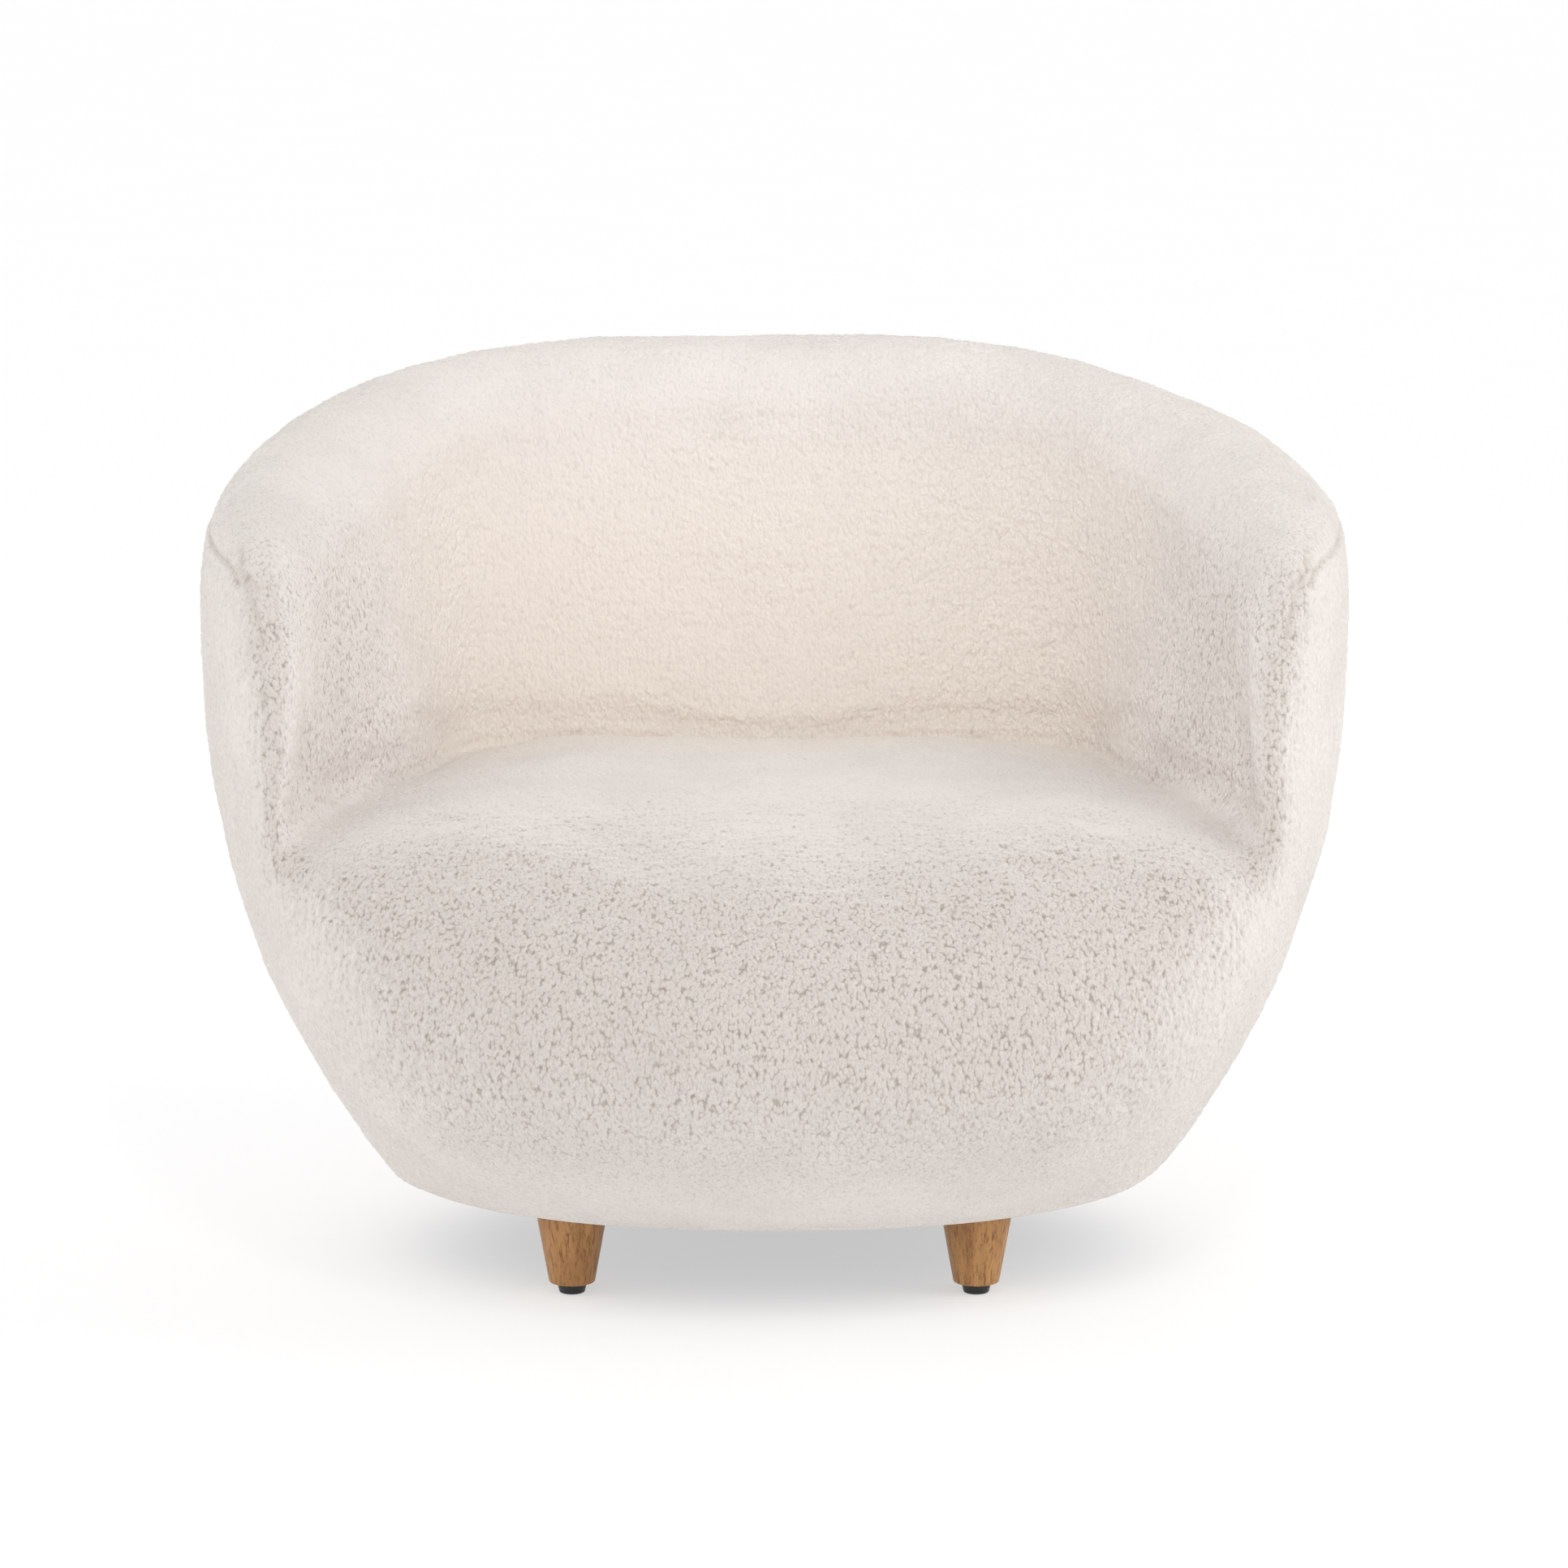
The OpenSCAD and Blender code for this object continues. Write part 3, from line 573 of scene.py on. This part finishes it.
def fill_out(co, quads, edges, lines):
    """The swollen cover: the cloth moves it outwards only, so the foam below stays covered."""
    hold = ramp(0.130, 0.064, co[:, 2])
    for name, wide in (("crease", 0.016), ("arm_right", 0.008), ("arm_left", 0.006), ("rim", 0.006),
                       ("back_right", 0.006), ("back_left", 0.006)):
        d, _ = seam_field(co, lines[name], 0.06)
        hold = np.maximum(hold, ramp(wide + 0.024, wide, d))
    n = normals_of(co, quads)
    out = (swell(co, quads, hold, 0.006) * n).sum(1)
    co = bump_out(co, n, np.clip(out, 0.0, 0.004))
    return smooth(co, edges, np.full(len(co), 0.5), 2)


def sewing(co, lines):
    """How far the sewn lines pull each point, and how much painted shade darkens the grooves there."""
    ff, z = from_front(azimuth(co)), co[:, 2]
    sewn = np.zeros(len(co))
    push = np.zeros(len(co))
    # depth and half width of each groove
    pull = {"crease": (0.010, 0.014), "arm_right": (0.0034, 0.0045), "arm_left": (0.0014, 0.005),
            "dart_right": (0.0025, 0.004), "dart_left": (0.0010, 0.004), "rim": (0.0030, 0.005),
            "back_right": (0.0030, 0.005), "back_left": (0.0030, 0.005)}
    for name, (depth, wide) in pull.items():
        d, run = seam_field(co, lines[name], 0.045)
        cut = np.clip(1 - d / wide, 0, 1) ** 1.6
        if name == "crease":
            cut = cut * ramp(56, 70, ff)
            cut = np.where(z > seat_edge_z(azimuth(co)) + 0.012, 0.5 * cut, cut)
        if "arm" in name:
            gather = 0.5 + 0.5 * np.cos(run * 2 * math.pi / 0.019 + 2 * np.sin(run * 60))
            cut = cut * (0.55 + 0.45 * gather)
            push -= depth * 0.35 * gather * ramp(0.030, 0.008, d)
        push -= depth * cut
        # Painted shade in each groove, weaker along the crease round the seat.
        sewn = np.maximum(sewn, cut * (0.5 if name == "crease" else 0.8))
    return push, sewn


def pile(co):
    """The bouclé's relief: long soft unevenness, tufts and fine curl; and the tufts alone from 0 to 1."""
    soft = 0.0022 * cloud(co / 0.085, 11) + 0.0012 * cloud(co / 0.034, 12)
    stretch = np.array([1, 1, 0.66])
    near, second = cells(co / 0.0060 * stretch)
    gap = np.clip((second - near) / 0.42, 0, 1)
    lump = gap * gap * (3 - 2 * gap)
    fine = cloud(co / 0.0030, 13)
    return soft + 0.0010 * (lump - 0.55) + 0.0004 * fine, lump


def shades(plain, co, n):
    """Masks of painted light and shade on the cover: how strong the painted shade between the tufts is,
    painted light on the upper inside of the back, and painted shade on the apron's front; the plain form is
    the cover before it was sewn.
    """
    az = azimuth(plain)
    ff, r, z = from_front(az), radius(co), plain[:, 2]
    outward = n[:, 0] * np.sign(co[:, 0])
    # Painted shade: the apron's surface that faces the front, found from its normals, gets darker cream and
    # more shade between the tufts.
    apron = ramp(0.10, 0.70, -n[:, 1]) * ramp(0.85, 0.35, np.abs(n[:, 0]))
    apron = apron * ramp(0.08, 0.24, z) * ramp(75, 58, ff)
    # Painted shade: the arms' inner fronts get more shade between the tufts.
    arm = ramp(112, 80, ff) * ramp(50, 60, ff) * ramp(0.80, 0.35, outward) * ramp(0.60, 0.50, z)
    arm *= ramp(seat_r(az) - 0.012, seat_r(az), r) * ramp(0.30, 0.34, z)
    # Weight of the painted shade between the tufts: a little everywhere, most on the apron's front and the
    # arms' inner fronts.
    gap_shade_weight = 0.16 + 0.84 * np.maximum(apron, 0.75 * arm)
    inner = (r < body_r(az) - 0.5 * rim_half(az)) & (z > seat_edge_z(az))
    # Painted light: the upper inside of the back is coloured brighter and yellower, as though lit.
    warm = ramp(0.66, 0.50, z) * ramp(85, 140, ff) * inner
    return {"gap_shade_weight": np.clip(gap_shade_weight, 0, 1), "warm": warm, "painted_apron_shade": apron}


def upholstery():
    """The whole cover as one surface, then cut into the panels it is sewn from."""
    co, quads = body_form()
    edges = edges_of(quads)
    co = settle(steady(co, edges))
    lines = seams(BVHTree.FromPolygons([tuple(p) for p in co], [tuple(q) for q in quads]))
    co = fill_out(co, quads, edges, lines)
    co, quads = remesh(co, quads, COVER_VOXEL)
    co = smooth(co, edges_of(quads), np.full(len(co), 0.5), 4)
    plain, n = co, normals_of(co, quads)
    above_board = ramp(UNDER + 0.001, UNDER + 0.008, plain[:, 2])
    push, sewn = sewing(plain, lines)
    co = bump_out(plain, n, push * above_board)
    relief, lump = pile(co)
    co = bump_out(co, n, relief * above_board)
    n = normals_of(co, quads)

    panel = panels(co, quads)
    c = co[quads].mean(1)
    tucked = (c[:, 2] < UNDER + 0.006) & (radius(c) < foot_r(azimuth(c)) - BOARD_IN - 0.016)
    values = {"pile": lump, "sewn": sewn} | shades(plain, co, n)
    for k, (name, stands_for) in enumerate((
            ("seat_upholstery", ("seat_cover", "seat_wadding")),
            ("inside_upholstery", ("inside_cover", "inside_wadding")),
            ("outside_upholstery_right", ("outside_cover_right", "outside_wadding")),
            ("outside_upholstery_back", ("outside_cover_back",)),
            ("outside_upholstery_left", ("outside_cover_left",)))):
        ob = panel_mesh(name, co, quads[(panel == k) & ~tucked], n, values)
        ob.data.materials.append(boucle())
        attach(ob, "root")
        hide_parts(*stands_for)


def dust_cover():
    """Thin cloth stretched under the base board, open round the legs and hanging a little between staples."""
    edge_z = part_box("dust_cover")[0][2]
    boxes = [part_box("leg_" + name) for name in ("front_left", "front_right", "rear_left", "rear_right")]
    legs = [np.array([(lo[0] + hi[0]) / 2, (lo[1] + hi[1]) / 2]) for lo, hi in boxes]
    hole = (boxes[0][1][0] - boxes[0][0][0]) / 2 + 0.001
    reach = BOARD_IN + 0.006
    rings, spokes = 60, 240
    az = np.arange(spokes) * 360 / spokes
    co, index = [], {}
    for i in range(rings + 1):
        for j in range(spokes):
            r = (foot_r(az[j]) - reach) * max(i / rings, 0.004)
            p = place(az[j], r, 0.0)[:2]
            for leg in legs:
                away = np.linalg.norm(p - leg)
                if hole - 0.003 < away < hole:
                    p = leg + (p - leg) * hole / away
            index[i, j] = len(co)
            co.append([p[0], p[1], 0.0])
    co = np.array(co)
    to_leg = np.min([np.linalg.norm(co[:, :2] - leg, axis=1) for leg in legs], axis=0)
    share = np.hypot(co[:, 0], co[:, 1]) / (foot_r(azimuth(co)) - reach)
    free = np.minimum(ramp(1, 0.55, share), ramp(hole, hole + 0.06, to_leg))
    pucker = 0.0006 * np.sin(np.radians(azimuth(co) * 36)) * ramp(0.8, 1.0, share)
    co[:, 2] = edge_z - 0.0035 * free + 0.0008 * cloud(co / 0.05, 21) * free - np.abs(pucker)
    faces = []
    for i in range(rings):
        for j in range(spokes):
            k = (j + 1) % spokes
            q = (index[i, j], index[i + 1, j], index[i + 1, k], index[i, k])
            if min(to_leg[list(q)]) > hole - 0.0005:
                faces.append(q)
    ob = make("dust_sheet", co, faces)
    ob.data.materials.append(dust_cloth())
    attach(ob, "root")
    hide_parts("dust_cover")


# ---------- materials ----------

class Nodes:
    """Short way of writing a material's nodes."""

    def __init__(self, name):
        self.material = bpy.data.materials.new(name)
        self.material.use_nodes = True
        self.tree = self.material.node_tree
        self.shader = self.tree.nodes["Principled BSDF"]

    def set(self, **values):
        for key, v in values.items():
            self.shader.inputs[key.replace("_", " ")].default_value = v

    def add(self, kind, props=(), **inputs):
        node = self.tree.nodes.new("ShaderNode" + kind)
        for key, v in dict(props).items():
            setattr(node, key, v)
        for key, v in inputs.items():
            socket = node.inputs[int(key[1:])] if key[0] == "_" else node.inputs[key.replace("_", " ")]
            if isinstance(v, bpy.types.NodeSocket):
                self.tree.links.new(v, socket)
            else:
                socket.default_value = v
        return node

    def out(self, value, socket):
        self.tree.links.new(value, self.shader.inputs[socket])

    def place(self, x=1, y=1, z=1):
        coord = self.add("TexCoord").outputs["Object"]
        return self.add("Mapping", Vector=coord, Scale=(x, y, z)).outputs[0]

    def noise(self, vector, scale, detail=3, rough=0.55, distortion=0):
        return self.add("TexNoise", Vector=vector, Scale=scale, Detail=detail, Roughness=rough,
                        Distortion=distortion).outputs[0]

    def voronoi(self, vector, scale):
        return self.add("TexVoronoi", Vector=vector, Scale=scale).outputs["Distance"]

    def span(self, value, a, b, c=0.0, d=1.0):
        return self.add("MapRange", {"interpolation_type": "SMOOTHSTEP"}, Value=value, From_Min=a, From_Max=b,
                        To_Min=c, To_Max=d).outputs[0]

    def math(self, kind, a, b):
        return self.add("Math", {"operation": kind}, _0=a, _1=b).outputs[0]

    def blend(self, factor, a, b):
        return self.add("Mix", {"data_type": "RGBA"}, _0=factor, _6=a, _7=b).outputs[2]

    def bump(self, height, strength, distance):
        return self.add("Bump", Height=height, Strength=strength, Distance=distance).outputs[0]

    def value(self, name):
        return self.add("Attribute", {"attribute_name": name}).outputs["Fac"]


def rgb(r, g, b):
    """Screen colour 0-255 as the linear colour a shader takes."""
    return tuple(((v / 255) / 12.92 if v / 255 <= 0.04045 else ((v / 255 + 0.055) / 1.055) ** 2.4)
                 for v in (r, g, b)) + (1.0,)


@cache
def boucle():
    m = Nodes("boucle_pile")
    at = m.place(1, 1, 0.60)
    swirl = m.add("TexNoise", Vector=at, Scale=170.0, Detail=2.0).outputs[1]
    bent = m.add("VectorMath", {"operation": "MULTIPLY_ADD"}, _0=swirl, _1=(0.0026, 0.0026, 0.0026), _2=at)
    tuft = m.voronoi(bent.outputs[0], 400)
    curl = m.voronoi(at, 640)
    fibre = m.noise(m.place(), 1700, 3, 0.7)
    height = m.math("SUBTRACT", m.math("MULTIPLY", m.value("pile"), 0.30), m.math("MULTIPLY", tuft, 1.0))
    height = m.math("SUBTRACT", height, m.math("MULTIPLY", curl, 0.25))
    height = m.math("ADD", height, m.math("MULTIPLY", fibre, 0.16))
    m.out(m.bump(height, 0.75, 0.0020), "Normal")
    cream = m.blend(m.span(m.noise(m.place(), 9, 3), 0.35, 0.65), rgb(231, 224, 219), rgb(237, 230, 225))
    # Painted light: brighter, yellower cream on the upper inside of the back.
    cream = m.blend(m.value("warm"), cream, rgb(238, 229, 220))
    # Painted shade: darker cream on the apron's front.
    cream = m.blend(m.math("MULTIPLY", m.value("painted_apron_shade"), 0.72), cream, rgb(214, 206, 199))
    # Painted shade between the tufts, darker where the relief is low, weighted by the gap shade mask.
    gap_shade = m.math("ADD", m.span(tuft, 0.50, 0.96), m.math("MULTIPLY", m.span(curl, 0.5, 0.8), 0.25))
    gap_shade = m.math("MULTIPLY", gap_shade, m.span(m.value("pile"), 1.0, 0.0, 0.7, 1.0))
    colour = m.blend(m.math("MULTIPLY", gap_shade, m.value("gap_shade_weight")), cream, rgb(170, 159, 150))
    # Painted shade along the seam grooves and the crease round the seat.
    colour = m.blend(m.math("MULTIPLY", m.value("sewn"), 0.42), colour, rgb(168, 150, 130))
    m.out(colour, "Base Color")
    m.set(Roughness=0.95, Sheen_Weight=0.15, Sheen_Roughness=0.5, Specular_IOR_Level=0.15)
    return m.material


@cache
def leg_wood():
    m = Nodes("leg_wood")
    figure = m.noise(m.place(1, 1, 0.10), 34, 4, 0.6, 0.6)
    pores = m.voronoi(m.place(1, 1, 0.055), 900)
    long_grain = m.noise(m.place(1, 1, 0.03), 420, 3, 0.7)
    colour = m.blend(m.span(figure, 0.30, 0.70), rgb(152, 106, 58), rgb(190, 141, 86))
    colour = m.blend(m.math("MULTIPLY", m.span(long_grain, 0.45, 0.70), 0.85), colour, rgb(112, 70, 36))
    colour = m.blend(m.math("MULTIPLY", m.span(pores, 0.22, 0.05), 0.85), colour, rgb(70, 44, 24))
    m.out(colour, "Base Color")
    m.out(m.span(long_grain, 0.2, 0.8, 0.42, 0.60), "Roughness")
    m.out(m.bump(m.math("SUBTRACT", long_grain, m.span(pores, 0.22, 0.05)), 0.25, 0.0006), "Normal")
    m.set(Specular_IOR_Level=0.4, Coat_Weight=0.12, Coat_Roughness=0.35)
    return m.material


@cache
def glide_black():
    m = Nodes("glide_black")
    grain = m.noise(m.place(), 900, 3)
    scuff = m.noise(m.place(1, 1, 4), 120, 4)
    m.out(m.blend(m.span(scuff, 0.5, 0.75), rgb(24, 24, 26), rgb(44, 43, 44)), "Base Color")
    m.out(m.span(grain, 0.3, 0.7, 0.38, 0.52), "Roughness")
    m.out(m.bump(grain, 0.15, 0.0002), "Normal")
    return m.material


@cache
def zinc_steel():
    m = Nodes("zinc_steel")
    spangle = m.voronoi(m.place(), 320)
    draw = m.noise(m.place(1, 1, 0.2), 700, 3)
    m.out(m.blend(m.span(spangle, 0.2, 0.8), rgb(176, 178, 182), rgb(150, 152, 157)), "Base Color")
    m.out(m.span(draw, 0.3, 0.7, 0.30, 0.46), "Roughness")
    m.out(m.bump(draw, 0.1, 0.0002), "Normal")
    m.set(Metallic=1.0)
    return m.material


@cache
def plywood():
    m = Nodes("plywood")
    face = m.noise(m.place(0.12, 1, 1), 60, 4, 0.6, 0.8)
    ply = m.add("TexWave", {"wave_type": "BANDS", "bands_direction": "Z"}, Vector=m.place(), Scale=190.0,
                Distortion=0.6, Detail=2.0).outputs[1]
    colour = m.blend(m.span(face, 0.3, 0.7), rgb(205, 176, 132), rgb(184, 150, 106))
    colour = m.blend(m.math("MULTIPLY", m.span(ply, 0.55, 0.8), 0.35), colour, rgb(140, 106, 70))
    m.out(colour, "Base Color")
    m.out(m.bump(face, 0.2, 0.0006), "Normal")
    m.set(Roughness=0.7)
    return m.material


@cache
def fibre_board():
    m = Nodes("fibre_board")
    flakes = m.noise(m.place(), 420, 4, 0.7)
    m.out(m.blend(m.span(flakes, 0.35, 0.65), rgb(124, 92, 64), rgb(148, 114, 82)), "Base Color")
    m.out(m.bump(flakes, 0.3, 0.0004), "Normal")
    m.set(Roughness=0.85)
    return m.material


@cache
def felt():
    m = Nodes("felt")
    fibres = m.noise(m.place(), 700, 5, 0.75)
    m.out(m.blend(m.span(fibres, 0.35, 0.65), rgb(104, 104, 108), rgb(134, 134, 138)), "Base Color")
    m.out(m.bump(fibres, 0.5, 0.0010), "Normal")
    m.set(Roughness=0.95)
    return m.material


@cache
def foam():
    m = Nodes("foam")
    pores = m.voronoi(m.place(), 700)
    m.out(m.blend(m.span(pores, 0.2, 0.6), rgb(206, 190, 132), rgb(236, 222, 168)), "Base Color")
    m.out(m.bump(pores, 0.4, 0.0010), "Normal")
    m.set(Roughness=0.9)
    return m.material


@cache
def wadding():
    m = Nodes("wadding")
    fluff = m.noise(m.place(), 240, 6, 0.75)
    m.out(m.blend(m.span(fluff, 0.35, 0.65), rgb(232, 232, 232), rgb(248, 248, 248)), "Base Color")
    m.out(m.bump(fluff, 0.6, 0.0016), "Normal")
    m.set(Roughness=0.95)
    return m.material


@cache
def dust_cloth():
    m = Nodes("dust_cloth")
    web = m.noise(m.place(), 520, 5, 0.7)
    dots = m.voronoi(m.place(), 640)
    m.out(m.blend(m.span(web, 0.35, 0.65), rgb(26, 26, 28), rgb(46, 46, 49)), "Base Color")
    m.out(m.bump(m.math("ADD", web, dots), 0.3, 0.0004), "Normal")
    m.set(Roughness=0.9)
    return m.material


def finish_nodes():
    """Every CAD node that stays gets the material of its slot."""
    slots = {"leg_wood": leg_wood, "glide_black": glide_black, "zinc_steel": zinc_steel, "plywood": plywood,
             "fibre_board": fibre_board, "felt": felt, "foam": foam, "wadding": wadding,
             "dust_cloth": dust_cloth, "boucle_pile": boucle}
    for part in frame["record"]["subparts"]:
        me = frame["nodes"][part["node"]].data
        me.materials.clear()
        me.materials.append(slots[part["material_slot"]]())


# ---------- studio ----------

def camera():
    """The photo's view: straight on, a little from above, with a long lens."""
    cam = bpy.data.objects.new("camera", bpy.data.cameras.new("camera"))
    bpy.context.scene.collection.objects.link(cam)
    cam.data.sensor_width = 36
    cam.data.lens = 141.6
    cam.location = (0.0073, -4.6, 1.13)
    cam.rotation_euler = (math.radians(90 - 9.525), 0, 0)
    bpy.context.scene.camera = cam


def lamp_at(name, at, size, power, aim=(0, 0, 0.35), spread=math.pi):
    lamp = bpy.data.lights.new(name, "AREA")
    lamp.spread = spread
    lamp.shape = "DISK"
    lamp.size = size
    lamp.energy = power
    ob = bpy.data.objects.new(name, lamp)
    bpy.context.scene.collection.objects.link(ob)
    ob.location = at
    ob.rotation_euler = (Vector(aim) - Vector(at)).to_track_quat("-Z", "Y").to_euler()


def studio():
    """A pale floor that runs out of sight, a white sky that is darker overhead, and three soft lamps."""
    floor = make("floor", [(-30, -30, 0), (30, -30, 0), (30, 30, 0), (-30, 30, 0)], [(0, 1, 2, 3)], False)
    m = Nodes("studio_floor")
    cloudy = m.noise(m.place(), 3, 2)
    m.out(m.blend(cloudy, (0.52, 0.52, 0.52, 1), (0.53, 0.53, 0.53, 1)), "Base Color")
    m.set(Roughness=0.9, Specular_IOR_Level=0.0, Emission_Color=(1, 1, 1, 1), Emission_Strength=0.52)
    floor.data.materials.append(m.material)
    world = bpy.data.worlds.new("studio")
    world.use_nodes = True
    tree = world.node_tree
    height = tree.nodes.new("ShaderNodeSeparateXYZ")
    tree.links.new(tree.nodes.new("ShaderNodeTexCoord").outputs["Generated"], height.inputs[0])
    fade = tree.nodes.new("ShaderNodeMapRange")
    tree.links.new(height.outputs["Z"], fade.inputs["Value"])
    for socket, v in (("From Min", 0.0), ("From Max", 1.0), ("To Min", 1.17), ("To Max", 0.765)):
        fade.inputs[socket].default_value = v
    tree.links.new(fade.outputs[0], tree.nodes["Background"].inputs["Strength"])
    tree.nodes["Background"].inputs["Color"].default_value = (1, 1, 1, 1)
    bpy.context.scene.world = world
    bpy.context.scene.view_settings.view_transform = "Standard"
    lamp_at("right", (3.0, -0.9, 1.7), 1.4, 15)
    lamp_at("left", (-3.0, -0.5, 1.9), 1.4, 5)
    lamp_at("tub", (0.3, -2.3, 2.3), 0.5, 0.64, (0, 0.16, 0.46), spread=0.55)


finish_nodes()
upholstery()
dust_cover()
camera()
studio()
